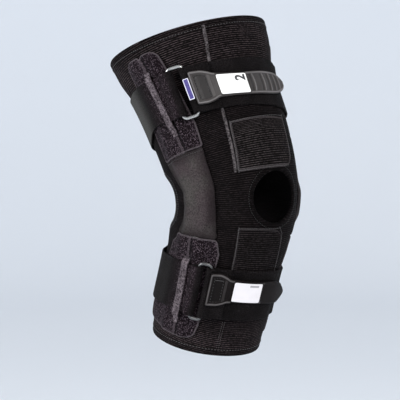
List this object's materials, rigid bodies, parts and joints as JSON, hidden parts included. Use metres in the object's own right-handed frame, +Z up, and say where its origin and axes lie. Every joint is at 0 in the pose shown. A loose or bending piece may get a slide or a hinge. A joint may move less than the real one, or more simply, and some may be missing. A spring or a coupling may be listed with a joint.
{
  "type": "hinged knee brace",
  "caption": "Black knitted knee brace, bent as worn, with side hinges in cloth pockets, straps with rings and pull tabs, and a round kneecap opening.",
  "frame": {"origin": "middle of the knee inside the sleeve, on the middle line of the leg", "axes": "+Z up the standing wearer, -Y to the wearer's front, -X to the outer side of the right leg"},
  "size_m": [0.1688, 0.2132, 0.3448],
  "materials": {
    "knit": "ribbed elastic knit",
    "loop_cloth": "short loop pile",
    "cover_cloth": "smooth matt stretch cloth",
    "webbing": "woven elastic webbing",
    "tape": "woven tape",
    "steel": "plain",
    "ring_wire": "nickel plated wire",
    "tab_plastic": "fine satin",
    "white_field": "matt white",
    "label_weave": "fine weave"
  },
  "bodies": {
    "root": {"sleeve": "knit", "front_flap_upper": "knit", "front_flap_lower": "knit", "front_seam_tape": "tape", "lateral_hinge_bar": "steel", "lateral_pocket_upper": "loop_cloth", "lateral_pocket_lower": "loop_cloth", "lateral_hinge_cover": "cover_cloth", "medial_hinge_bar": "steel", "medial_pocket_upper": "loop_cloth", "medial_pocket_lower": "loop_cloth", "medial_hinge_cover": "cover_cloth", "strap_upper": "webbing", "strap_lower": "webbing", "strap_keeper_upper": "tape", "strap_keeper_lower": "tape", "ring_upper": "ring_wire", "ring_lower": "ring_wire", "tab_upper": "tab_plastic", "tab_lower": "tab_plastic", "number_field_upper": "white_field", "number_field_lower": "white_field", "strap_label": "label_weave"}
  },
  "joints": []
}
